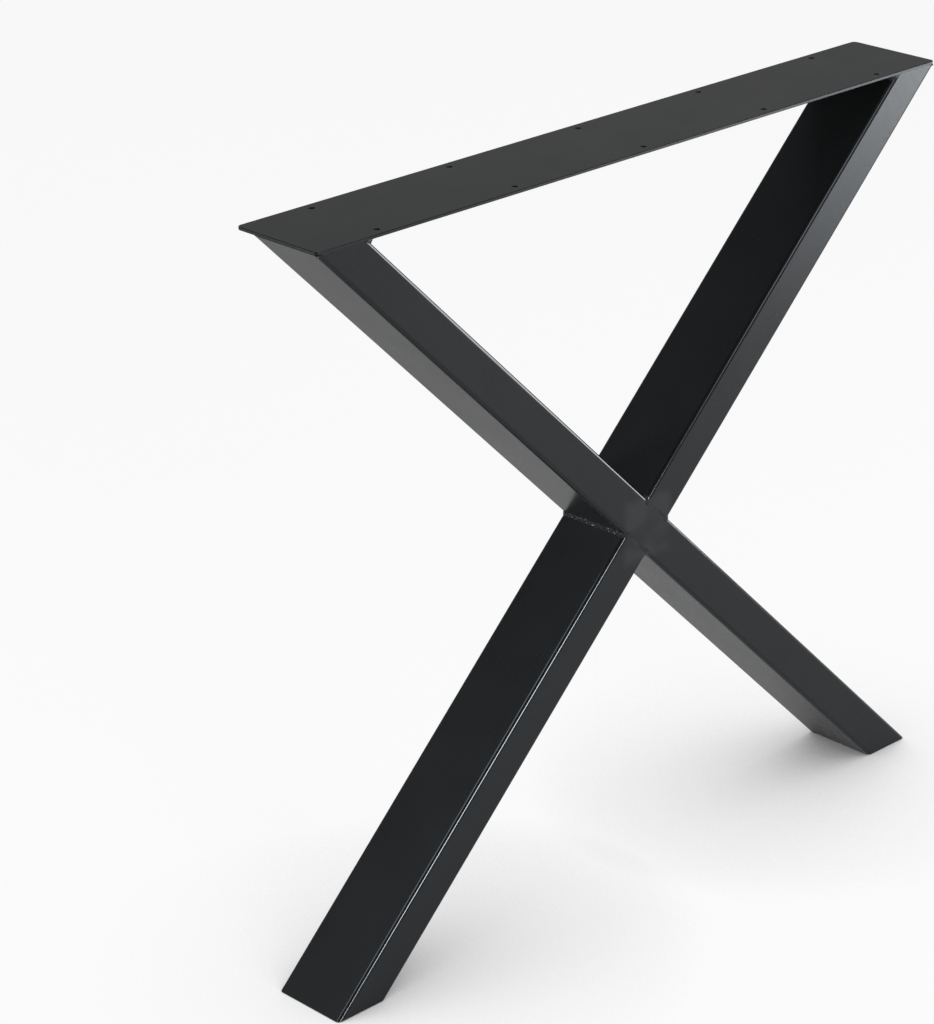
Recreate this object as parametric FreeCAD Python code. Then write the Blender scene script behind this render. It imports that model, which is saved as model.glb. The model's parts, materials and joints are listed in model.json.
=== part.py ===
import FreeCAD, Part
import math
import os

# An X shaped table leg, welded from rectangular steel tube and a flat top plate.
# One tube runs unbroken from the top left to the bottom right. The other diagonal is two tubes
# that butt against its faces. All sizes are in millimetres, +X runs along the plate, +Y runs to
# the back, +Z is up, and the origin is on the floor under the middle of the plate.

# Whole leg, whose feet reach as far out as the ends of its plate
leg_height = 720.0
plate_length = 790.0

# Top plate, with a row of screw holes along each long edge
plate_width = 100.0
plate_thickness = 3.0
plate_corner_radius = 5.0
plate_edge_bevel = 0.4
hole_diameter = 5.5
hole_edge_distance = 10.0
holes_per_row = 5
hole_pitch = 160.0

# Rectangular tube: the broad side lies across the leg, the narrow side shows from the front
tube_breadth = 80.0
tube_depth = 40.0
tube_wall = 2.0
tube_corner_radius = 4.0
least_inner_radius = 0.5

# Plates that close the tubes at the floor
foot_cap_thickness = 2.0
foot_cap_edge_bevel = 0.8

# Fillet welds: the width and bulge of the face, how many times wider than that face a bead is
# made before the steel beside it is cut away, the ripples along the bead with the share of each
# that rises, and the tapered ends with the least share of the height that they keep
weld_face_width = 5.0
weld_bulge = 0.3
weld_sector_margin = 1.5
ripple_pitch = 5.0
ripple_depth = 0.25
ripple_crest = 0.35
bead_end_length = 2.0
bead_end_height = 0.5

# Worked out from the sizes above
plate_underside = leg_height - plate_thickness
front = -plate_width / 2
tube_back = front + tube_breadth
tube_middle = front + tube_breadth / 2
# The outer corners of the two diagonals meet the ends of the plate, above and below
diagonal = math.hypot(plate_length, plate_underside)
lean = math.atan2(plate_underside, plate_length) + math.asin(tube_depth / diagonal)
cut_width = tube_depth / math.sin(lean)
crossing = FreeCAD.Vector(0, tube_middle, plate_underside / 2)
# Longer than anything that is cut or kept
plenty = 2 * diagonal

along_x = FreeCAD.Vector(1, 0, 0)
along_y = FreeCAD.Vector(0, 1, 0)
falling = math.degrees(lean)
rising = -falling


def rounded_outline(size_u, size_v, radius):
    """A closed wire in the XY plane, centred, with four round corners."""
    edges = []
    start = None
    last = None
    for corner, (side_u, side_v) in enumerate(((1, 1), (-1, 1), (-1, -1), (1, -1))):
        centre_u = side_u * (size_u / 2 - radius)
        centre_v = side_v * (size_v / 2 - radius)
        points = []
        for step in (0, 1, 2):
            angle = (corner + step / 2) * math.pi / 2
            u = centre_u + radius * math.cos(angle)
            v = centre_v + radius * math.sin(angle)
            points.append(FreeCAD.Vector(u, v, 0))
        if last is None:
            start = points[0]
        else:
            edges.append(Part.LineSegment(last, points[0]).toShape())
        edges.append(Part.Arc(*points).toShape())
        last = points[2]
    edges.append(Part.LineSegment(last, start).toShape())
    return Part.Wire(edges)


def bar(breadth, depth, radius, slope):
    """A long solid bar of the given section, through the crossing, leaning in the XZ plane."""
    face = Part.Face(rounded_outline(depth, breadth, radius))
    solid = face.extrude(FreeCAD.Vector(0, 0, plenty))
    solid.translate(FreeCAD.Vector(0, 0, -plenty / 2))
    # The bar's own length turns from +Z to +X, and then leans down by the slope
    turn = FreeCAD.Rotation(along_y, 90 + slope)
    solid.Placement = FreeCAD.Placement(crossing, turn).multiply(solid.Placement)
    return solid


def layer(low, high):
    """Everything between two heights."""
    corner = FreeCAD.Vector(-plenty / 2, -plenty / 2, low)
    return Part.makeBox(plenty, plenty, high - low, corner)


def beside(slope, side, thickness):
    """The space on one side of a diagonal, starting at its broad face."""
    start = tube_depth / 2 if side > 0 else -tube_depth / 2 - thickness
    corner = FreeCAD.Vector(-plenty / 2, -plenty / 2, start)
    box = Part.makeBox(plenty, plenty, thickness, corner)
    box.Placement = FreeCAD.Placement(crossing, FreeCAD.Rotation(along_y, slope))
    return box


def outside_of_tube(slope):
    return bar(tube_breadth, tube_depth, tube_corner_radius, slope)


def hollow_tube(slope):
    """A tube along one diagonal, sawn level at the plate and at the closing plate of its foot."""
    inner_breadth = tube_breadth - 2 * tube_wall
    inner_depth = tube_depth - 2 * tube_wall
    inner_radius = max(tube_corner_radius - tube_wall, least_inner_radius)
    inside = bar(inner_breadth, inner_depth, inner_radius, slope)
    tube = outside_of_tube(slope).cut(inside)
    return tube.common(layer(foot_cap_thickness, plate_underside))


def make_long_tube():
    return hollow_tube(falling)


def make_short_tube(side):
    """One half of the other diagonal, sawn to butt against the long tube: side 1 is above it."""
    return hollow_tube(rising).common(beside(falling, side, plenty))


def make_foot_cap(slope):
    """The plate that closes a tube at the floor, flush all round, with its lower edge eased."""
    cap = outside_of_tube(slope).common(layer(0, foot_cap_thickness))
    bevel = min(foot_cap_edge_bevel, foot_cap_thickness / 2)
    lower = [edge for edge in cap.Edges if edge.BoundBox.ZMax < foot_cap_thickness / 2]
    return cap.makeChamfer(bevel, lower)


def make_top_plate():
    outline = rounded_outline(plate_length, plate_width, plate_corner_radius)
    plate = Part.Face(outline).extrude(FreeCAD.Vector(0, 0, plate_thickness))
    bevel = min(plate_edge_bevel, plate_thickness / 3)
    rims = [edge for edge in plate.Edges if edge.BoundBox.ZLength < plate_thickness / 2]
    plate = plate.makeChamfer(bevel, rims)
    for side in (-1, 1):
        y = side * (plate_width / 2 - hole_edge_distance)
        for place in range(holes_per_row):
            x = (place - (holes_per_row - 1) / 2) * hole_pitch
            foot = FreeCAD.Vector(x, y, -plate_thickness)
            plate = plate.cut(Part.makeCylinder(hole_diameter / 2, 3 * plate_thickness, foot))
    plate.translate(FreeCAD.Vector(0, 0, plate_underside))
    return plate


def rippled_profile(length, radius, root, ends):
    """Half a bead's outline, along +X, at a distance from the X axis in +Y.

    Each ripple rises fast and falls slowly, like overlapping scales. ends says, for the start
    and for the finish, whether the bead tapers down to its root there."""
    low = radius - ripple_depth
    first = bead_end_length if ends[0] else 0
    final = length - bead_end_length if ends[1] else length
    count = max(1, round((final - first) / ripple_pitch))
    step = (final - first) / count
    outline = [(0, 0), (0, root)] if ends[0] else [(0, 0)]
    for ripple in range(count):
        start = first + ripple * step
        outline.append((start, low))
        outline.append((start + step * ripple_crest, radius))
    outline.append((final, low))
    if ends[1]:
        outline.append((length, root))
    outline.append((length, 0))
    outline.append((0, 0))
    points = [FreeCAD.Vector(x, y, 0) for x, y in outline]
    return Part.Face(Part.makePolygon(points))


def bead_height(half_angle):
    """How far a bead's crest stands off the corner that it fills."""
    return weld_face_width / 2 / math.tan(half_angle) + weld_bulge


def fillet_bead(corner, run_direction, length, open_direction, half_angle, ends=(False, False)):
    """A rippled weld that fills an inside corner, before the steel beside it is cut away.

    corner is where the corner line starts, and open_direction points out of the corner
    midway between its two faces, which are half_angle away on each side."""
    half_face = weld_face_width / 2
    radius = (half_face ** 2 + weld_bulge ** 2) / (2 * weld_bulge)
    behind = radius - bead_height(half_angle)
    # Wider than the face, so that it also fills the groove where the steel beside it is round
    sector = math.degrees(2 * math.asin(half_face / radius)) * weld_sector_margin
    root = max(behind, radius * bead_end_height)
    profile = rippled_profile(length, radius, root, ends)
    bead = profile.revolve(FreeCAD.Vector(), along_x, sector)
    bead.rotate(FreeCAD.Vector(), along_x, -sector / 2)
    sideways = run_direction.cross(open_direction)
    turn = FreeCAD.Rotation(run_direction, open_direction, sideways, "XYZ")
    start = corner - open_direction * behind
    bead.Placement = FreeCAD.Placement(start, turn).multiply(bead.Placement)
    return bead


def make_crossing_bead(angle, half_angle):
    """The weld in one inside corner of the crossing: angle is where it opens to, from +X."""
    open_direction = FreeCAD.Vector(math.cos(angle), 0, math.sin(angle))
    distance = tube_depth / 2 / math.sin(half_angle)
    corner = crossing + open_direction * distance - along_y * (tube_breadth / 2)
    bead = fillet_bead(corner, along_y, tube_breadth, open_direction, half_angle)
    # Its ends are ground round, like the corners of the tubes beside it
    reach = distance + bead_height(half_angle)
    ground = bar(tube_breadth, 2 * reach, tube_corner_radius, 90 - math.degrees(angle))
    bead = bead.common(ground)
    return bead.cut(outside_of_tube(falling)).cut(outside_of_tube(rising))


def normal_to(slope):
    """The upward normal of a diagonal's broad faces."""
    angle = math.radians(slope)
    return FreeCAD.Vector(math.sin(angle), 0, math.cos(angle))


def make_seam(side, level):
    """Weld metal ground flush, between a butted tube's end and the long tube's round corner."""
    inward = beside(falling, level, tube_corner_radius)
    inward.translate(normal_to(falling) * (-level * tube_corner_radius))
    start = front if side < 0 else tube_back - tube_wall
    corner = FreeCAD.Vector(-plenty / 2, start, 0)
    skin = Part.makeBox(plenty, tube_wall, leg_height, corner)
    seam = outside_of_tube(rising).common(inward).common(skin)
    return seam.cut(outside_of_tube(falling))


def make_plate_bead(side):
    """The weld under the plate on the inner side of one arm: side -1 is the left arm."""
    half_angle = lean / 2
    corner_x = side * (plate_length / 2 - cut_width)
    corner = FreeCAD.Vector(corner_x, front, plate_underside)
    open_direction = FreeCAD.Vector(-side * math.cos(half_angle), 0, -math.sin(half_angle))
    length = tube_breadth - tube_corner_radius
    bead = fillet_bead(corner, along_y, length, open_direction, half_angle, (True, True))
    slope = falling if side < 0 else rising
    return bead.cut(outside_of_tube(slope)).cut(layer(plate_underside, plenty))


def make_plate_back_bead(side):
    """The weld under the plate along the back of one arm, on the arm's flat face."""
    half_angle = math.pi / 4
    leg = weld_face_width / 2 / math.sin(half_angle)
    margin = tube_corner_radius / math.sin(lean) + leg
    length = cut_width - 2 * margin
    middle = side * (plate_length - cut_width) / 2
    corner = FreeCAD.Vector(middle - length / 2, tube_back, plate_underside)
    open_direction = FreeCAD.Vector(0, math.cos(half_angle), -math.sin(half_angle))
    bead = fillet_bead(corner, along_x, length, open_direction, half_angle, (True, True))
    slope = falling if side < 0 else rising
    return bead.cut(outside_of_tube(slope)).cut(layer(plate_underside, plenty))


def save(shape, name):
    """Write one sub-part, and say how many solids and how much steel it holds."""
    solids = shape.Solids
    if len(solids) == 1:
        shape = solids[0]
    if not shape.isValid():
        raise ValueError(name + " isn't a valid solid")
    shape.exportStep(os.path.join("parts", name + ".step"))
    print(name, len(solids), "solids", round(shape.Volume, 1), "mm3")


os.makedirs("parts", exist_ok=True)

save(make_top_plate(), "top_plate")
save(make_long_tube(), "long_tube")
save(make_short_tube(1), "upper_tube")
save(make_short_tube(-1), "lower_tube")
save(make_foot_cap(falling), "foot_cap_right")
save(make_foot_cap(rising), "foot_cap_left")

side_corner = lean
end_corner = math.pi / 2 - lean
save(make_crossing_bead(math.pi, side_corner), "crossing_bead_left")
save(make_crossing_bead(0, side_corner), "crossing_bead_right")
save(make_crossing_bead(math.pi / 2, end_corner), "crossing_bead_top")
save(make_crossing_bead(-math.pi / 2, end_corner), "crossing_bead_bottom")

for side, side_name in ((-1, "front"), (1, "back")):
    for level, level_name in ((1, "upper"), (-1, "lower")):
        save(make_seam(side, level), "seam_" + side_name + "_" + level_name)

for side, side_name in ((-1, "left"), (1, "right")):
    save(make_plate_bead(side), "plate_bead_" + side_name)
    save(make_plate_back_bead(side), "plate_back_bead_" + side_name)
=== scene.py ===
# %% [markdown]
# # An X shaped table leg in black powder coat
#
# The real thing is a welded frame. One rectangular steel tube runs unbroken from the top left to
# the bottom right. The other diagonal is two shorter tubes that butt against it. A thin drilled
# plate joins the two arms at the top, and the whole frame is sprayed with black powder and baked.
#
# The steel itself is already there: a frame of solids made beforehand at its real size. This
# lesson dresses it. The flat and straight pieces keep their own meshes and get a finish. The
# welds are made again here with finer ripples, because welds are what a close look finds.

# %% Load the steel frame
import json
import math
import random

import bpy
from mathutils import Matrix, Vector


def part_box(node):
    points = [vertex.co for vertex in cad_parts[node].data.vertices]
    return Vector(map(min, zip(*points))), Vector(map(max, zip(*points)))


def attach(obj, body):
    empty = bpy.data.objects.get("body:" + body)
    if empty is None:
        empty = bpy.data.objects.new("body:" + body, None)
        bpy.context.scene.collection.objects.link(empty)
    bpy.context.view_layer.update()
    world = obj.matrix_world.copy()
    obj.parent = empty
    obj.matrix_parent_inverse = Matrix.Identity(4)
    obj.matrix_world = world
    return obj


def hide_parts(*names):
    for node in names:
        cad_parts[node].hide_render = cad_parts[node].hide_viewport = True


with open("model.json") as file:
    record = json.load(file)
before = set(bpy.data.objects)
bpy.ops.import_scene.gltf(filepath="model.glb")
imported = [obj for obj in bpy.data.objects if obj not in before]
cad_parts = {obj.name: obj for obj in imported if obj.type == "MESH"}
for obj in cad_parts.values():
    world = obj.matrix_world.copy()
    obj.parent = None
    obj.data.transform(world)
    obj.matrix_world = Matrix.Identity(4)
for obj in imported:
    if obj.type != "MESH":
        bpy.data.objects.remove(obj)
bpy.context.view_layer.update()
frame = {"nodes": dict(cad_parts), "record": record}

nodes = frame["nodes"]

# %% [markdown]
# ## The frame's sizes
#
# Every place below is worked out from the frame, so that a leg with other sizes is dressed as
# well. A box around a piece gives its length, height and faces. It can't give the depth of a
# tube that leans, or how round its corners are, so those two are written here. The lean of the
# tubes follows from them: the outer corners of both diagonals meet the ends of the plate.

# %% Measure the tubes and the plate
mm = 0.001
tube_depth = 40 * mm
tube_corner_radius = 4 * mm
tube_skin = 2 * mm

plate_low, plate_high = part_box("top_plate")
tube_low, tube_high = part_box("long_tube")
front, back = tube_low.y, tube_high.y
underside = plate_low.z
plate_length = plate_high.x - plate_low.x

diagonal = math.hypot(plate_length, underside)
lean = math.atan2(underside, plate_length) + math.asin(tube_depth / diagonal)
cut_width = tube_depth / math.sin(lean)
crossing = Vector((0, (front + back) / 2, underside / 2))

print("plate", round(plate_length / mm), "by", round((plate_high.y - plate_low.y) / mm), "mm")
print("lean", round(math.degrees(lean), 2), "degrees, sawn width", round(cut_width / mm, 2), "mm")

# %% Name the directions of the two diagonals
along_x = Vector((1, 0, 0))
along_y = Vector((0, 1, 0))
upright = Vector((0, 0, 1))
down_the_long_tube = Vector((math.cos(lean), 0, -math.sin(lean)))
up_the_short_tubes = Vector((math.cos(lean), 0, math.sin(lean)))
print("the diagonals cross at", round(math.degrees(2 * lean), 2), "degrees")

# %% [markdown]
# ## The camera
#
# The photograph was taken from the front left, a little above the plate, with a long lens. The
# camera can be placed by eye, or worked out from edges whose real size is known. Here it was
# worked out, so its place, the point that it looks at and its small roll are written as they
# came out, and the lens is given by its focal length in pixels of the picture.

# %% Place the camera
camera_place = Vector((-2.1484, -2.0357, 1.6196))
camera_aim = Vector((-0.0979, 0.0868, 0.3623))
camera_roll = math.radians(-0.592)
focal_length_in_pixels = 3462.1
picture_height_in_pixels = 1024
sensor_height = 36.0
scene = bpy.context.scene


def look(place, aim, roll):
    """A camera's matrix: it stands at place, looks at aim, and is turned by roll about its view."""
    forward = (aim - place).normalized()
    level = forward.cross(upright).normalized()
    unrolled_up = level.cross(forward)
    right = level * math.cos(roll) + unrolled_up * math.sin(roll)
    up = unrolled_up * math.cos(roll) - level * math.sin(roll)
    turned = Matrix((right, up, -forward)).transposed().to_4x4()
    return Matrix.Translation(place) @ turned


def make_camera():
    data = bpy.data.cameras.new("camera")
    data.sensor_fit = "AUTO"
    data.sensor_width = sensor_height
    data.lens = focal_length_in_pixels / picture_height_in_pixels * sensor_height
    camera = bpy.data.objects.new("camera", data)
    camera.matrix_world = look(camera_place, camera_aim, camera_roll)
    scene.collection.objects.link(camera)
    scene.camera = camera
    return camera


camera = make_camera()
print("lens", round(camera.data.lens, 2), "mm")

# %% [markdown]
# ## The studio's lights
#
# A black part shows almost nothing of its own colour. What the eye reads is what its coat
# reflects: pale floor in the fronts, dim wall in the plate, and a thin white line wherever a
# round corner turns past a lamp. So each softbox below is there for a surface that mirrors it.
# The brightness of a softbox is what counts for that, and its power follows from its area.

# %% Hang the softboxes
middle_of_leg = Vector((0, 0, underside / 2))
lamp_distance = 3.0


def make_softbox(name, place, aim, width, height, brightness):
    """A rectangular lamp at place, facing aim, whose surface shines with the given brightness."""
    data = bpy.data.lights.new(name, "AREA")
    data.shape = "RECTANGLE"
    data.size = width
    data.size_y = height
    data.energy = brightness * math.pi * width * height
    lamp = bpy.data.objects.new(name, data)
    lamp.location = place
    lamp.rotation_mode = "QUATERNION"
    lamp.rotation_quaternion = (aim - place).to_track_quat("-Z", "Y")
    scene.collection.objects.link(lamp)
    return lamp


def around_the_leg(azimuth, elevation):
    """A place seen from the leg's middle, in degrees: azimuth is counted from +X towards +Y."""
    a, e = math.radians(azimuth), math.radians(elevation)
    away = Vector((math.cos(a) * math.cos(e), math.sin(a) * math.cos(e), math.sin(e)))
    return middle_of_leg + away * lamp_distance


# The white line along the front corners of the lower leg, and a dimmer one up the arm
make_softbox("front_softbox", around_the_leg(azimuth=254, elevation=18), middle_of_leg,
             width=1.3, height=0.55, brightness=35.0)
make_softbox("front_fill", around_the_leg(azimuth=270, elevation=34), middle_of_leg,
             width=0.8, height=1.1, brightness=5.0)

# The soft second line beside the white one
make_softbox("back_left_softbox", around_the_leg(azimuth=157, elevation=43), middle_of_leg,
             width=1.1, height=1.0, brightness=4.5)

# The plate's bright edge and the white line along the long tube's upper edge
make_softbox("low_right_softbox", place=Vector((2.1, -0.9, 0.5)), aim=Vector((0, 0, 0.46)),
             width=1.4, height=0.85, brightness=7.2)

# The pale upper half of the right arm, which mirrors a place low at the front right
make_softbox("arm_softbox", place=Vector((1.25, -0.95, 0.3)), aim=Vector((0.33, -0.05, 0.62)),
             width=0.5, height=0.35, brightness=2.1)

# Glints on the welds
make_softbox("left_softbox", around_the_leg(azimuth=152, elevation=8), middle_of_leg,
             width=0.7, height=0.7, brightness=26.0)

# Plain light from above, which no face mirrors towards the camera
make_softbox("overhead_softbox", place=Vector((0.8, -0.8, 4.4)), aim=middle_of_leg,
             width=3.4, height=3.4, brightness=2.0)

# %% [markdown]
# ## The studio's walls
#
# The plate mirrors the wall behind the leg, and the arms' upper faces mirror the ceiling. In the
# photograph the plate is mid grey and those faces are nearly black, so the wall is paler than
# the ceiling. A world that fades from one to the other with height does that, and there is
# nothing in it that a lamp of its own would have to light.

# %% Paint the walls and the ceiling
wall_brightness = 0.38
ceiling_brightness = 0.14
wall_top = 0.42
ceiling_start = 0.62
white = (1, 1, 1, 1)


def make_world():
    world = bpy.data.worlds.new("studio_walls")
    world.use_nodes = True
    tree = world.node_tree
    place = tree.nodes.new("ShaderNodeTexCoord")
    parts = tree.nodes.new("ShaderNodeSeparateXYZ")
    fade = tree.nodes.new("ShaderNodeMapRange")
    fade.interpolation_type = "SMOOTHSTEP"
    fade.inputs["From Min"].default_value = wall_top
    fade.inputs["From Max"].default_value = ceiling_start
    fade.inputs["To Min"].default_value = wall_brightness
    fade.inputs["To Max"].default_value = ceiling_brightness
    tree.links.new(place.outputs["Generated"], parts.inputs["Vector"])
    tree.links.new(parts.outputs["Z"], fade.inputs["Value"])
    tree.links.new(fade.outputs["Result"], tree.nodes["Background"].inputs["Strength"])
    tree.nodes["Background"].inputs["Color"].default_value = white
    return world


scene.world = make_world()
scene.view_settings.view_transform = "Standard"
print("walls", wall_brightness, "ceiling", ceiling_brightness)

# %% [markdown]
# ## The floor
#
# The leg stands on a white studio floor. White paper under these lamps would come out a little
# grey, and more lamps would spoil the black. So the floor is plain paper that also glows by
# itself. Towards the camera it glows almost fully, which makes it white. Towards what the coat
# mirrors it glows less, so that the coat shows a pale floor and stays black: at full strength
# the fronts came out greyer than in the photograph. The glow is weaker in nooks and beside the
# feet, which gives the soft shade there, and the paper under it keeps the leg's shadow.

# %% A helper for sums in a material
def calculate(tree, operation, *values):
    """A Math node: each value is a number or another node's output."""
    node = tree.nodes.new("ShaderNodeMath")
    node.operation = operation
    for place, value in enumerate(values):
        if isinstance(value, (int, float)):
            node.inputs[place].default_value = value
        else:
            tree.links.new(value, node.inputs[place])
    return node.outputs["Value"]


print("helper: calculate")

# %% Lay the floor
floor_reach = 30.0
floor_drop = 0.2 * mm
floor_pale = 0.45
glow_to_camera = 0.92
glow_to_coat = 0.2
shade_reach = 0.25
shade_samples = 3


def make_floor_paper():
    material = bpy.data.materials.new("floor_paper")
    material.use_nodes = True
    tree = material.node_tree
    paper = tree.nodes["Principled BSDF"]
    paper.inputs["Base Color"].default_value = (floor_pale, floor_pale, floor_pale, 1)
    paper.inputs["Roughness"].default_value = 1.0
    paper.inputs["Specular IOR Level"].default_value = 0.0
    glow = tree.nodes.new("ShaderNodeEmission")
    rays = tree.nodes.new("ShaderNodeLightPath")
    shade = tree.nodes.new("ShaderNodeAmbientOcclusion")
    shade.inputs["Distance"].default_value = shade_reach
    shade.samples = shade_samples
    tree.links.new(shade.outputs["AO"], glow.inputs["Strength"])
    mirrored = (rays.outputs["Is Glossy Ray"], rays.outputs["Is Transmission Ray"])
    coat_share = calculate(tree, "MULTIPLY", calculate(tree, "MAXIMUM", *mirrored), glow_to_coat)
    camera_share = calculate(tree, "MULTIPLY", rays.outputs["Is Camera Ray"], glow_to_camera)
    mix = tree.nodes.new("ShaderNodeMixShader")
    tree.links.new(calculate(tree, "MAXIMUM", camera_share, coat_share), mix.inputs["Fac"])
    tree.links.new(paper.outputs["BSDF"], mix.inputs[1])
    tree.links.new(glow.outputs["Emission"], mix.inputs[2])
    tree.links.new(mix.outputs["Shader"], tree.nodes["Material Output"].inputs["Surface"])
    return material


def make_floor():
    corners = [(-1, -1), (1, -1), (1, 1), (-1, 1)]
    mesh = bpy.data.meshes.new("floor")
    points = [(x * floor_reach, y * floor_reach, -floor_drop) for x, y in corners]
    mesh.from_pydata(points, [], [(0, 1, 2, 3)])
    mesh.materials.append(make_floor_paper())
    floor = bpy.data.objects.new("floor", mesh)
    scene.collection.objects.link(floor)
    return floor


floor = make_floor()
print("floor", 2 * floor_reach, "m across")

# %% [markdown]
# ## What every coat has in common
#
# Powder coat is plastic dust that melted on the steel. Close up it has a very fine grain, and on
# top of that a slow, shallow swell that painters call orange peel. Both could be modelled, but
# they are thinner than a hair, so they are relief in the material. Each effect is a node group,
# built once, and every finish of this leg takes it with its own values. All heights are in
# millimetres, and the places that feed them are the frame's own, in metres.

# %% Helpers for node groups
def start_group(name, inputs, outputs):
    """A new shader group: each socket is a name and a kind, and an input may have a value too."""
    group = bpy.data.node_groups.new(name, "ShaderNodeTree")
    for socket_name, kind, value in inputs:
        socket = group.interface.new_socket(socket_name, in_out="INPUT", socket_type=kind)
        if value is not None:
            socket.default_value = value
    for socket_name, kind in outputs:
        group.interface.new_socket(socket_name, in_out="OUTPUT", socket_type=kind)
    return group, group.nodes.new("NodeGroupInput"), group.nodes.new("NodeGroupOutput")


def noise(tree, place, scale, detail):
    """Soft noise from 0 to 1: scale is how many lumps there are to a metre.

    detail is how many finer layers lie on top of the broad one."""
    node = tree.nodes.new("ShaderNodeTexNoise")
    node.inputs["Detail"].default_value = detail
    tree.links.new(place, node.inputs["Vector"])
    tree.links.new(scale, node.inputs["Scale"])
    return node.outputs["Fac"]


print("helpers: start_group, noise")

# %% Build the powder skin
grain_detail = 1.0
peel_detail = 0.0
cloud_detail = 3.0


def build_powder_skin():
    """Grain and orange peel as one height, and a slow cloud for how evenly the coat lies."""
    inputs = [("Place", "NodeSocketVector", None), ("Grain Width", "NodeSocketFloat", 0.35),
              ("Grain Height", "NodeSocketFloat", 0.002), ("Peel Width", "NodeSocketFloat", 2.5),
              ("Peel Height", "NodeSocketFloat", 0.006), ("Cloud Width", "NodeSocketFloat", 60.0)]
    outputs = [("Height", "NodeSocketFloat"), ("Cloud", "NodeSocketFloat")]
    group, given, result = start_group("powder_skin", inputs, outputs)
    heights = []
    for effect, detail in (("Grain", grain_detail), ("Peel", peel_detail)):
        scale = calculate(group, "DIVIDE", 1 / mm, given.outputs[effect + " Width"])
        lumps = noise(group, given.outputs["Place"], scale, detail)
        heights.append(calculate(group, "MULTIPLY", lumps, given.outputs[effect + " Height"]))
    cloud_scale = calculate(group, "DIVIDE", 1 / mm, given.outputs["Cloud Width"])
    cloud = noise(group, given.outputs["Place"], cloud_scale, cloud_detail)
    group.links.new(calculate(group, "ADD", *heights), result.inputs["Height"])
    group.links.new(cloud, result.inputs["Cloud"])
    return group


powder_skin = build_powder_skin()
print("group:", powder_skin.name, [socket.name for socket in powder_skin.interface.items_tree])

# %% [markdown]
# ## Thin edges
#
# Melted powder creeps away from an edge, so the coat is thinner and smoother there, and the
# edges of a powder coated frame are glossier than its faces. The mask for that needs no bevel
# and no painting: a round corner is where the surface faces neither along an axis nor square to
# it. With the angle between them written as a cosine c, 4 c² (1 - c²) is 0 on both flat faces
# and 1 in the middle of the corner.

# %% Build the mask for thin edges
edge_begins = 0.004
edge_is_full = 0.06


def build_thin_edges():
    """1 on the corners that turn between facing along the axis and facing square to it."""
    inputs = [("Facing", "NodeSocketVector", None), ("Axis", "NodeSocketVector", along_y)]
    group, given, result = start_group("thin_edges", inputs, [("Mask", "NodeSocketFloat")])
    cosine = group.nodes.new("ShaderNodeVectorMath")
    cosine.operation = "DOT_PRODUCT"
    group.links.new(given.outputs["Facing"], cosine.inputs[0])
    group.links.new(given.outputs["Axis"], cosine.inputs[1])
    square = calculate(group, "MULTIPLY", cosine.outputs["Value"], cosine.outputs["Value"])
    rest = calculate(group, "SUBTRACT", 1.0, square)
    turning = calculate(group, "MULTIPLY", calculate(group, "MULTIPLY", square, rest), 4.0)
    edge = group.nodes.new("ShaderNodeMapRange")
    edge.interpolation_type = "SMOOTHSTEP"
    edge.inputs["From Min"].default_value = edge_begins
    edge.inputs["From Max"].default_value = edge_is_full
    group.links.new(turning, edge.inputs["Value"])
    group.links.new(edge.outputs["Result"], result.inputs["Mask"])
    return group


thin_edges = build_thin_edges()
print("group:", thin_edges.name)

# %% [markdown]
# ## Marks of the grinder
#
# Where a weld would stand out on a face, the welder grinds it flush. The disc leaves the steel
# slightly wavy, and the thin coat doesn't hide that: the reflections wobble there. A mask says
# where the disc went. It is a soft box in the frame's own places, so that it stays on the steel
# from any side, and the waves are noise drawn out along the way the disc was pushed.

# %% Build the grinder's mask
def build_ground_area():
    """A soft box: 1 inside it, fading to 0 over the fade beyond its faces."""
    inputs = [("Place", "NodeSocketVector", None), ("Middle", "NodeSocketVector", None),
              ("Half Size", "NodeSocketVector", None), ("Fade", "NodeSocketFloat", 8.0)]
    group, given, result = start_group("ground_area", inputs, [("Mask", "NodeSocketFloat")])
    away = group.nodes.new("ShaderNodeVectorMath")
    away.operation = "SUBTRACT"
    group.links.new(given.outputs["Place"], away.inputs[0])
    group.links.new(given.outputs["Middle"], away.inputs[1])
    distance = group.nodes.new("ShaderNodeVectorMath")
    distance.operation = "ABSOLUTE"
    group.links.new(away.outputs["Vector"], distance.inputs[0])
    beyond = group.nodes.new("ShaderNodeVectorMath")
    beyond.operation = "SUBTRACT"
    group.links.new(distance.outputs["Vector"], beyond.inputs[0])
    group.links.new(given.outputs["Half Size"], beyond.inputs[1])
    parts = group.nodes.new("ShaderNodeSeparateXYZ")
    group.links.new(beyond.outputs["Vector"], parts.inputs["Vector"])
    worst = calculate(group, "MAXIMUM", parts.outputs["X"], parts.outputs["Y"])
    worst = calculate(group, "MAXIMUM", worst, parts.outputs["Z"])
    fade = calculate(group, "MULTIPLY", given.outputs["Fade"], mm)
    share = calculate(group, "DIVIDE", worst, fade)
    left = calculate(group, "SUBTRACT", 1.0, share)
    clamped = group.nodes.new("ShaderNodeClamp")
    group.links.new(left, clamped.inputs["Value"])
    group.links.new(clamped.outputs["Result"], result.inputs["Mask"])
    return group


ground_area = build_ground_area()
print("group:", ground_area.name)

# %% Build the grinder's waves
mark_stretch = (1.0, 1.0, 0.35)
grinder_detail = 1.5


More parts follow.
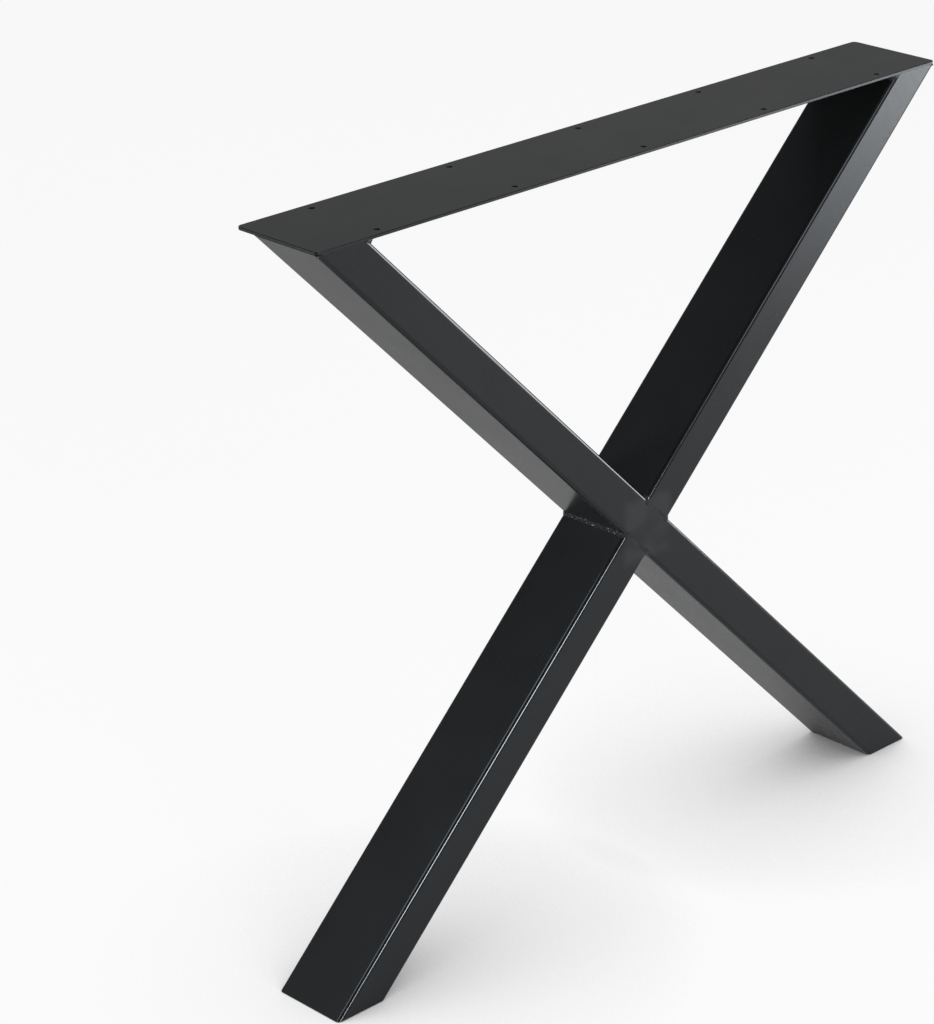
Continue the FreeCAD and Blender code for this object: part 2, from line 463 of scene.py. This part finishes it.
def build_grinder_waves():
    """The height that a grinding disc leaves: broad waves, and finer marks along its way."""
    inputs = [("Place", "NodeSocketVector", None), ("Wave Width", "NodeSocketFloat", 9.0),
              ("Wave Height", "NodeSocketFloat", 0.08), ("Mark Width", "NodeSocketFloat", 1.6),
              ("Mark Height", "NodeSocketFloat", 0.012)]
    group, given, result = start_group("grinder_waves", inputs, [("Height", "NodeSocketFloat")])
    drawn_out = group.nodes.new("ShaderNodeMapping")
    drawn_out.inputs["Scale"].default_value = mark_stretch
    group.links.new(given.outputs["Place"], drawn_out.inputs["Vector"])
    heights = []
    for effect, place in (("Wave", given.outputs["Place"]), ("Mark", drawn_out.outputs["Vector"])):
        scale = calculate(group, "DIVIDE", 1 / mm, given.outputs[effect + " Width"])
        lumps = noise(group, place, scale, grinder_detail)
        heights.append(calculate(group, "MULTIPLY", lumps, given.outputs[effect + " Height"]))
    group.links.new(calculate(group, "ADD", *heights), result.inputs["Height"])
    return group


grinder_waves = build_grinder_waves()
print("group:", grinder_waves.name)

# %% [markdown]
# ## Where the steel shines through
#
# The grinder also leaves the steel bright, and a thin coat over bright steel looks a little
# greyer than over dark steel. It shows in soft blotches. They are noise cut off at two levels,
# so that there is clear black between them, and each finish sets how wide they are.

# %% Build the blotches
blotch_begins = 0.42
blotch_is_full = 0.58
blotch_detail = 1.0


def build_worn_blotches():
    """1 where the coat is thin over ground steel, and 0 where it lies full."""
    inputs = [("Place", "NodeSocketVector", None), ("Blotch Width", "NodeSocketFloat", 12.0)]
    group, given, result = start_group("worn_blotches", inputs, [("Mask", "NodeSocketFloat")])
    scale = calculate(group, "DIVIDE", 1 / mm, given.outputs["Blotch Width"])
    edge = group.nodes.new("ShaderNodeMapRange")
    edge.interpolation_type = "SMOOTHSTEP"
    edge.inputs["From Min"].default_value = blotch_begins
    edge.inputs["From Max"].default_value = blotch_is_full
    blotches = noise(group, given.outputs["Place"], scale, blotch_detail)
    group.links.new(blotches, edge.inputs["Value"])
    group.links.new(edge.outputs["Result"], result.inputs["Mask"])
    return group


worn_blotches = build_worn_blotches()
print("group:", worn_blotches.name)

# %% [markdown]
# ## The coats
#
# The coat is one powder everywhere, a black that is neither glossy nor dull, but it doesn't lie
# the same everywhere. On tube it flows out smooth. On the flat plate it lies a touch thicker,
# with a wider swell. Over welds it is pulled thin on the crests, which shine, and pools in the
# valleys, which stay dull. So there are four finishes, and they differ in a few values only.
# The black is a cool one: what it reflects comes back a touch bluer, and that is the coat's tint.

# %% Mix the black
coat_black = (0.0038, 0.0040, 0.0042, 1)
coat_thin_black = (0.0052, 0.0054, 0.0056, 1)
coat_worn_black = (0.013, 0.0133, 0.0137, 1)
coat_tint = (0.82, 0.91, 1.0, 1)
coat_ior = 1.4
weld_ior = 1.42
edge_roughness = 0.09
print("black:", coat_black[:3], "tint of what it reflects:", coat_tint[:3])


# %% Helpers for the coats
def use_group(tree, group, fed_by, **values):
    """Put a group in a material, with its first input fed and some of the others set."""
    node = tree.nodes.new("ShaderNodeGroup")
    node.node_tree = group
    tree.links.new(fed_by, node.inputs[0])
    for socket_name, value in values.items():
        node.inputs[socket_name.replace("_", " ").title()].default_value = value
    return node


def start_coat(name, **skin_values):
    """A black coat with its grain and clouds, before its gloss and relief join the shader."""
    material = bpy.data.materials.new(name)
    material.use_nodes = True
    tree = material.node_tree
    shader = tree.nodes["Principled BSDF"]
    shader.inputs["IOR"].default_value = coat_ior
    shader.inputs["Specular Tint"].default_value = coat_tint
    place = tree.nodes.new("ShaderNodeTexCoord").outputs["Object"]
    skin = use_group(tree, powder_skin, place, **skin_values)
    tone = tree.nodes.new("ShaderNodeMix")
    tone.data_type = "RGBA"
    tone.inputs["A"].default_value = coat_black
    tone.inputs["B"].default_value = coat_thin_black
    tree.links.new(skin.outputs["Cloud"], tone.inputs["Factor"])
    tree.links.new(tone.outputs["Result"], shader.inputs["Base Color"])
    return material, place, skin


def set_gloss(material, skin, smoothest, roughest, edge_axis):
    """Roughness that drifts with the skin's clouds, and is low along thin edges."""
    tree = material.node_tree
    roughness = tree.nodes.new("ShaderNodeMapRange")
    roughness.inputs["To Min"].default_value = smoothest
    roughness.inputs["To Max"].default_value = roughest
    tree.links.new(skin.outputs["Cloud"], roughness.inputs["Value"])
    facing = tree.nodes.new("ShaderNodeNewGeometry").outputs["Normal"]
    edges = use_group(tree, thin_edges, facing, axis=edge_axis)
    smoother = tree.nodes.new("ShaderNodeMix")
    smoother.inputs["B"].default_value = edge_roughness
    tree.links.new(edges.outputs["Mask"], smoother.inputs["Factor"])
    tree.links.new(roughness.outputs["Result"], smoother.inputs["A"])
    tree.links.new(smoother.outputs["Result"], tree.nodes["Principled BSDF"].inputs["Roughness"])


def wear_coat(material, place, reach, blotch_width):
    """Let the steel grey through in blotches: reach is a share, or a mask of where they go."""
    tree = material.node_tree
    shader = tree.nodes["Principled BSDF"]
    blotches = use_group(tree, worn_blotches, place, blotch_width=blotch_width)
    worn = tree.nodes.new("ShaderNodeMix")
    worn.data_type = "RGBA"
    worn.inputs["B"].default_value = coat_worn_black
    tree.links.new(shader.inputs["Base Color"].links[0].from_socket, worn.inputs["A"])
    share = calculate(tree, "MULTIPLY", blotches.outputs["Mask"], reach)
    tree.links.new(share, worn.inputs["Factor"])
    tree.links.new(worn.outputs["Result"], shader.inputs["Base Color"])


def join_relief(material, height):
    """Feed a height in millimetres to the shader."""
    tree = material.node_tree
    bump = tree.nodes.new("ShaderNodeBump")
    bump.inputs["Distance"].default_value = mm
    tree.links.new(height, bump.inputs["Height"])
    tree.links.new(bump.outputs["Normal"], tree.nodes["Principled BSDF"].inputs["Normal"])


print("helpers: use_group, start_coat, set_gloss, wear_coat, join_relief")

# %% Coat the tubes
ground_reach = 26 * mm
ground_depth = 2 * mm
arm_ground_length = 55 * mm
arm_ground_stretch = 1.5
crossing_blotch_width = 42.0


def make_tube_coat():
    """The coat on tube, with ground places at the crossing and where the arms meet the plate."""
    material, place, skin = start_coat("tube_coat")
    set_gloss(material, skin, smoothest=0.25, roughest=0.31, edge_axis=along_y)
    tree = material.node_tree
    waves = use_group(tree, grinder_waves, place).outputs["Height"]
    arm_x = (plate_length - cut_width) / 2
    arm_z = underside - arm_ground_length / 2
    places = [Vector((0, front, crossing.z)), Vector((arm_x, front, arm_z)),
              Vector((-arm_x, front, arm_z))]
    at_crossing = Vector((ground_reach, ground_depth, ground_reach))
    at_arm = Vector((ground_reach * arm_ground_stretch, ground_depth, ground_reach))
    sizes = [at_crossing, at_arm, at_arm]
    mask = 0.0
    masks = []
    for middle, half_size in zip(places, sizes):
        area = use_group(tree, ground_area, place, middle=middle, half_size=half_size)
        masks.append(area.outputs["Mask"])
        mask = calculate(tree, "MAXIMUM", mask, area.outputs["Mask"])
    wear_coat(material, place, reach=masks[0], blotch_width=crossing_blotch_width)
    ground = calculate(tree, "MULTIPLY", waves, mask)
    join_relief(material, calculate(tree, "ADD", skin.outputs["Height"], ground))
    return material


tube_coat = make_tube_coat()
print("coat:", tube_coat.name)


# %% Coat the plate
def make_top_plate_coat():
    """The coat on the flat plate: a wider, lower swell than on tube."""
    material, _, skin = start_coat("top_plate_coat", peel_width=3.5, peel_height=0.008)
    set_gloss(material, skin, smoothest=0.3, roughest=0.38, edge_axis=upright)
    join_relief(material, skin.outputs["Height"])
    return material


top_plate_coat = make_top_plate_coat()
print("coat:", top_plate_coat.name)


# %% Coat the welds
valley_roughness = 0.45
crest_roughness = 0.12


def make_weld_coat():
    """The coat over weld beads: dull in the valleys and glossy on the crests."""
    material, _, skin = start_coat("weld_coat", peel_width=1.2, peel_height=0.015,
                                   cloud_width=3.0)
    tree = material.node_tree
    tree.nodes["Principled BSDF"].inputs["IOR"].default_value = weld_ior
    ridge = tree.nodes.new("ShaderNodeAttribute")
    ridge.attribute_name = "ridge"
    roughness = tree.nodes.new("ShaderNodeMapRange")
    roughness.interpolation_type = "SMOOTHSTEP"
    roughness.inputs["To Min"].default_value = valley_roughness
    roughness.inputs["To Max"].default_value = crest_roughness
    tree.links.new(ridge.outputs["Fac"], roughness.inputs["Value"])
    tree.links.new(roughness.outputs["Result"], tree.nodes["Principled BSDF"].inputs["Roughness"])
    join_relief(material, skin.outputs["Height"])
    return material


weld_coat = make_weld_coat()
print("coat:", weld_coat.name)


# %% Coat the welds that are ground flush
def make_ground_weld_coat():
    """The coat over welds that are ground flush, with the grinder's waves all over."""
    material, place, skin = start_coat("ground_weld_coat")
    set_gloss(material, skin, smoothest=0.22, roughest=0.34, edge_axis=along_y)
    wear_coat(material, place, reach=0.7, blotch_width=12.0)
    tree = material.node_tree
    waves = use_group(tree, grinder_waves, place, wave_width=6.0, wave_height=0.1)
    both = calculate(tree, "ADD", skin.outputs["Height"], waves.outputs["Height"])
    join_relief(material, both)
    return material


ground_weld_coat = make_ground_weld_coat()
print("coat:", ground_weld_coat.name)

# %% Give the steel its coat
coats = {"tube_coat": tube_coat, "top_plate_coat": top_plate_coat, "weld_coat": weld_coat}
slots = {part["node"]: part["material_slot"] for part in frame["record"]["subparts"]}
for name, piece in nodes.items():
    piece.data.materials.clear()
    piece.data.materials.append(coats[slots[name]])
print("coated:", len(nodes), "steel pieces")

# %% [markdown]
# ## The weld beads
#
# A welder lays a bead as a row of overlapping scales. Each scale has a steep leading edge and a
# long back, and its outline is a crescent that trails at both sides. The solids in the frame
# have coarse ripples. Here each bead is swept again as a ring of points that walks along the
# corner. A formula gives the height of the scales, and seeded random numbers make them uneven.
# Two rows of small lumps stand on them, one towards each side. They are what glints in the
# photograph. The bead's foot lies a hair inside the steel on each side, so that no gap shows.

# %% Sizes of a bead
bead_face = 5.0 * mm
bead_bulge = 0.3 * mm
bead_step = 0.25 * mm
bead_round_steps = 22
bead_foot_overlap = 1.08
bead_root = 1.0 * mm
scale_length = 3.2 * mm
scale_height = 0.3 * mm
scale_rise = 0.28
crescent_sag = 1.1 * mm
lump_spacing = 5.0 * mm
lump_radius = 1.8 * mm
lump_height = 0.78 * mm
lump_row = 0.5
ridge_height = 0.35 * mm
taper_length = 2.5 * mm
taper_least = 0.01
foot_power = 6
shortest_step, longest_step = 0.7, 1.3
weakest, strongest = 0.45, 1.0
lump_stray = 0.08
sharp_angle = math.radians(70)
print("bead face", round(bead_face / mm, 1), "mm, scales", round(scale_length / mm, 1), "mm apart")


# %% The relief of a bead
def uneven_steps(length, step, dice):
    """Places along a length, about a step apart, each with a strength of its own."""
    places = []
    at = -step * dice.random()
    while at < length + step:
        reach = step * dice.uniform(shortest_step, longest_step)
        places.append((at, reach, dice.uniform(weakest, strongest)))
        at += reach
    return places


def make_relief(length, dice):
    """A function that gives the bead's relief at a distance along it and a share across it."""
    scales = uneven_steps(length + crescent_sag, scale_length, dice)
    lumps = []
    for at, reach, strength in uneven_steps(length, lump_spacing, dice):
        for side in (-1, 1):
            lump_at = at + dice.uniform(0, reach)
            row = side * lump_row + dice.uniform(-lump_stray, lump_stray)
            lumps.append((lump_at, row, strength))

    def relief(along, across):
        trailing = along + crescent_sag * across * across
        height = 0.0
        for at, reach, strength in scales:
            share = (trailing - at) / reach
            if 0 <= share < 1:
                climb = share / scale_rise if share < scale_rise else (1 - share) / (1 - scale_rise)
                height = scale_height * strength * climb * climb * (3 - 2 * climb)
                break
        for at, row, strength in lumps:
            away = math.hypot(along - at, (across - row) * bead_face / 2) / lump_radius
            if away < 1:
                height += lump_height * strength * (1 - away * away) ** 2
        return height - scale_height

    return relief


print("helpers: uneven_steps, make_relief")


# %% Turn rings of points into a closed mesh
def closed_mesh(name, rings, ridges=()):
    """A closed mesh from rings of as many points each, with a flat face at both ends.

    ridges has a value for each point: 1 on the crests of a bead, and 0 in its valleys."""
    count = len(rings[0])
    points = [point for ring in rings for point in ring]
    faces = [list(reversed(range(count)))]
    for row in range(len(rings) - 1):
        for place in range(count):
            following = (place + 1) % count
            low, high = row * count, (row + 1) * count
            faces.append((low + place, low + following, high + following, high + place))
    faces.append([len(points) - count + place for place in range(count)])
    mesh = bpy.data.meshes.new(name)
    mesh.from_pydata(points, [], faces)
    mesh.polygons.foreach_set("use_smooth", [True] * len(faces))
    mesh.set_sharp_from_angle(angle=sharp_angle)
    if ridges:
        mesh.attributes.new("ridge", "FLOAT", "POINT").data.foreach_set("value", ridges)
    mesh.validate()
    return mesh


print("helper: closed_mesh")


# %% Walk a bead along its corner
def bead_rings(length, corner_at, run, opening, half_angle, tapers, dice):
    """Rings of points for a bead in an inside corner, and how much of a ridge each point is.

    corner_at gives the corner's place at a distance along it. opening points out of the corner,
    midway between two faces that are half_angle away on each side."""
    sideways = run.cross(opening)
    half_face = bead_face / 2
    radius = (half_face ** 2 + bead_bulge ** 2) / (2 * bead_bulge)
    behind = radius - bead_bulge - half_face / math.tan(half_angle)
    widest = math.asin(half_face / radius) * bead_foot_overlap
    relief = make_relief(length, dice)
    rings, ridges = [], []
    steps = round(length / bead_step)
    for step in range(steps + 1):
        along = length * step / steps
        size = 1.0
        for tapered, from_end in zip(tapers, (along, length - along)):
            if tapered and from_end < taper_length:
                share = 1 - from_end / taper_length
                size *= math.sqrt(max(1 - share * share, taper_least))
        corner = corner_at(along)
        ring = []
        for turn in range(bead_round_steps + 1):
            across = 2 * turn / bead_round_steps - 1
            off_the_foot = 1 - abs(across) ** foot_power
            height = relief(along, across) * off_the_foot
            reach = radius + height
            ridges.append(min(max(1 + height / ridge_height, 0.0), 1.0))
            angle = across * widest
            out = (reach * math.cos(angle) - behind) * size
            side = reach * math.sin(angle) * size
            ring.append(corner + opening * out + sideways * side)
        ring.append(corner - opening * bead_root)
        ridges.append(0.0)
        rings.append(ring)
    return rings, ridges


print("helper: bead_rings")


# %% Helpers for every weld
def round_inset(from_edge):
    """How far a tube's broad face has turned away, near its round corner."""
    left = tube_corner_radius - from_edge
    if left <= 0:
        return 0.0
    return tube_corner_radius - math.sqrt(tube_corner_radius ** 2 - left ** 2)


def add_weld(name, mesh, material, node=None):
    """Put a weld in the scene: node is the coarse one in the frame whose place it takes."""
    mesh.materials.append(material)
    piece = bpy.data.objects.new(name, mesh)
    scene.collection.objects.link(piece)
    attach(piece, "root")
    if node:
        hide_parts(node)
    return piece


print("helpers: round_inset, add_weld")

# %% [markdown]
# ## Welds in the crossing
#
# Four beads fill the inside corners where the short tubes butt against the long one. They run
# the whole breadth of the tubes. Near the front and the back the tubes' own corners turn away,
# and the bead turns with them, because it was ground round there too.

# %% Weld the crossing
tube_breadth = back - front

# For each corner: the way it opens, half the angle between its faces, and its seed
corner_welds = {
    "left": (math.pi, lean, 11),
    "right": (0.0, lean, 12),
    "top": (math.pi / 2, math.pi / 2 - lean, 13),
    "bottom": (-math.pi / 2, math.pi / 2 - lean, 14),
}


def make_crossing_weld(side, angle, half_angle, seed):
    opening = Vector((math.cos(angle), 0, math.sin(angle)))
    inner_corner = crossing + opening * (tube_depth / 2 / math.sin(half_angle))
    inner_corner.y = front

    def corner_at(along):
        turned_away = round_inset(min(along, tube_breadth - along)) / math.sin(half_angle)
        return inner_corner + along_y * along - opening * turned_away

    dice = random.Random(seed)
    shape = bead_rings(tube_breadth, corner_at, along_y, opening, half_angle, (False, False), dice)
    mesh = closed_mesh("crossing_weld_" + side, *shape)
    return add_weld("crossing_weld_" + side, mesh, weld_coat, "crossing_bead_" + side)


for side, (angle, half_angle, seed) in corner_welds.items():
    weld = make_crossing_weld(side, angle, half_angle, seed)
    print(weld.name, len(weld.data.polygons), "faces")

# %% [markdown]
# ## Welds under the plate
#
# Each arm is welded to the plate on its inner side, in the sharp corner that it makes with the
# plate, and along its back, under the part of the plate that stands out. These beads start and
# stop in the open, so they taper off at both ends.

# %% Weld the plate to the arms
def make_plate_weld(side, name, seed):
    half_angle = lean / 2
    length = tube_breadth - tube_corner_radius
    start = Vector((side * (plate_length / 2 - cut_width), front, underside))
    opening = Vector((-side * math.cos(half_angle), 0, -math.sin(half_angle)))

    def corner_at(along):
        turned_away = round_inset(along) / math.sin(lean)
        return start + along_y * along + along_x * (side * turned_away)

    dice = random.Random(seed)
    shape = bead_rings(length, corner_at, along_y, opening, half_angle, (True, True), dice)
    mesh = closed_mesh("plate_weld_" + name, *shape)
    return add_weld("plate_weld_" + name, mesh, weld_coat, "plate_bead_" + name)


def make_plate_back_weld(side, name, seed):
    half_angle = math.pi / 4
    margin = tube_corner_radius / math.sin(lean) + bead_face / 2 / math.sin(half_angle)
    length = cut_width - 2 * margin
    middle = side * (plate_length - cut_width) / 2
    start = Vector((middle - length / 2, back, underside))
    opening = Vector((0, math.cos(half_angle), -math.sin(half_angle)))

    def corner_at(along):
        return start + along_x * along

    dice = random.Random(seed)
    shape = bead_rings(length, corner_at, along_x, opening, half_angle, (True, True), dice)
    mesh = closed_mesh("plate_back_weld_" + name, *shape)
    return add_weld("plate_back_weld_" + name, mesh, weld_coat, "plate_back_bead_" + name)


for side, name, seed, back_seed in ((-1, "left", 21, 31), (1, "right", 22, 32)):
    for weld in (make_plate_weld(side, name, seed), make_plate_back_weld(side, name, back_seed)):
        print(weld.name, len(weld.data.polygons), "faces")

# %% [markdown]
# ## Ground seams
#
# On the front and the back of the crossing the long tube's round corner leaves a groove beside
# the end of each short tube. It is welded full and ground flush, and a shallow dip stays here
# and there. Each seam is a thin closed patch: its top is a grid of points a hair under the
# face, and its bottom follows the round corner of the long tube.

# %% Fill the grooves
seam_steps_along = 80
seam_steps_across = 28
seam_dip = 0.1 * mm
seam_dip_length = 11.0 * mm
seam_groove = 0.45 * mm
seam_sunk = 0.03 * mm


def make_seam(side, level, name, seed):
    """side is -1 on the front and 1 on the back; level is 1 above the long tube and -1 below."""
    dice = random.Random(seed)
    dips = uneven_steps(tube_depth, seam_dip_length, dice)
    face = front if side < 0 else back
    flat = tube_depth / 2 - tube_corner_radius
    reach = flat + math.sqrt(tube_corner_radius ** 2 - (tube_corner_radius - tube_skin) ** 2)
    rings = []
    for along_step in range(seam_steps_along + 1):
        along = (2 * along_step / seam_steps_along - 1) * reach
        turned = max(abs(along) - flat, 0)
        rounding = tube_corner_radius - math.sqrt(tube_corner_radius ** 2 - turned ** 2)
        dip = 0.0
        for at, length, strength in dips:
            share = (along + reach - at) / length
            if 0 <= share < 1:
                dip = seam_dip * strength * math.sqrt(math.sin(math.pi * share))
        tops, bottoms = [], []
        for across_step in range(seam_steps_across + 1):
            share = across_step / seam_steps_across
            across = share * tube_corner_radius
            offset = (tube_depth / 2 - across) / math.sin(2 * lean)
            spot = crossing + up_the_short_tubes * (level * offset) + down_the_long_tube * along
            off_line = abs(share - 0.5) * tube_corner_radius / seam_groove
            hollow = dip * max(1 - off_line ** 2, 0) ** 2 + seam_sunk * share
            top = min(rounding + hollow, tube_skin)
            bottom = min(round_inset(across) + seam_sunk, tube_skin) + seam_sunk
            tops.append(Vector((spot.x, face - side * top, spot.z)))
            bottoms.append(Vector((spot.x, face - side * max(bottom, top + seam_sunk), spot.z)))
        rings.append(tops + bottoms[::-1])
    mesh = closed_mesh("ground_" + name, rings)
    return add_weld("ground_" + name, mesh, ground_weld_coat, name)


seam_seed = 40
for side, side_name in ((-1, "front"), (1, "back")):
    for level, level_name in ((1, "upper"), (-1, "lower")):
        seam_seed += 1
        seam = make_seam(side, level, "seam_" + side_name + "_" + level_name, seam_seed)
        print(seam.name, len(seam.data.polygons), "faces")

# %% [markdown]
# ## The flush joint between plate and arms
#
# The front of each arm stands flush with the plate's long edge. On the real leg that joint is
# welded and ground until plate and arm are one face, so the plate's eased lower edge doesn't
# show there. A thin closed strip fills the groove that the easing leaves.

# %% Fill the joint along the plate's front edge
joint_height = 0.5 * mm
joint_sunk = 0.02 * mm
joint_foot = 0.8 * mm
joint_steps = 60
joint_wobble = 0.06 * mm


def make_plate_joint(side, name, seed):
    dice = random.Random(seed)
    outer_round = tube_corner_radius / math.sin(lean)
    start = plate_length / 2 - cut_width + outer_round
    finish = plate_length / 2 - outer_round
    dips = uneven_steps(finish - start, seam_dip_length, dice)
    rings = []
    for step in range(joint_steps + 1):
        along = (finish - start) * step / joint_steps
        dip = 0.0
        for at, length, strength in dips:
            share = (along - at) / length
            if 0 <= share < 1:
                dip = joint_wobble * strength * math.sin(math.pi * share) ** 2
        x = side * (start + along)
        face = front + joint_sunk
        section = [(face, joint_height), (face + dip, 0.0), (face, -joint_height),
                   (face + joint_foot, -joint_height), (face + joint_foot, joint_height)]
        ring = [Vector((x, y, underside + height)) for y, height in section]
        rings.append(ring if side > 0 else ring[::-1])
    mesh = closed_mesh("plate_joint_" + name, rings)
    return add_weld("plate_joint_" + name, mesh, ground_weld_coat)


for side, name, seed in ((-1, "left", 51), (1, "right", 52)):
    joint = make_plate_joint(side, name, seed)
    print(joint.name, len(joint.data.polygons), "faces")

# %% [markdown]
# ## Spots of weld at the plate's ends
#
# Where a tube's round corner passes under the plate's round corner, a small hollow is left. The
# welder closes it with one short touch of the torch, which leaves a spot that stays round. Each
# spot is a closed egg, sunk for the most part in the tube, and it stays inside the plate's ends.

# %% Set the spots
spot_middle = Vector((2.9, 2.5, -1.0)) * mm
spot_reach = Vector((2.4, 2.1, 1.1)) * mm
spot_steps = 16
pole_gap = 0.25


def make_end_spot(side, name):
    middle = Vector((side * (plate_length / 2 - spot_middle.x), front + spot_middle.y,
                     underside + spot_middle.z))
    rings = []
    for step in range(spot_steps + 1):
        tilt = math.pi * (step + pole_gap) / (spot_steps + 2 * pole_gap)
        ring = []
        for turn in range(2 * spot_steps):
            angle = math.pi * turn / spot_steps
            away = Vector((math.cos(tilt), math.sin(tilt) * math.cos(angle),
                           math.sin(tilt) * math.sin(angle)))
            ring.append(middle + Vector((a * b for a, b in zip(away, spot_reach))))
        rings.append(ring[::-1])
    crests = [1.0] * (len(rings) * len(rings[0]))
    mesh = closed_mesh("end_spot_" + name, rings, crests)
    return add_weld("end_spot_" + name, mesh, weld_coat)


for side, name in ((-1, "left"), (1, "right")):
    spot = make_end_spot(side, name)
    print(spot.name, len(spot.data.polygons), "faces")
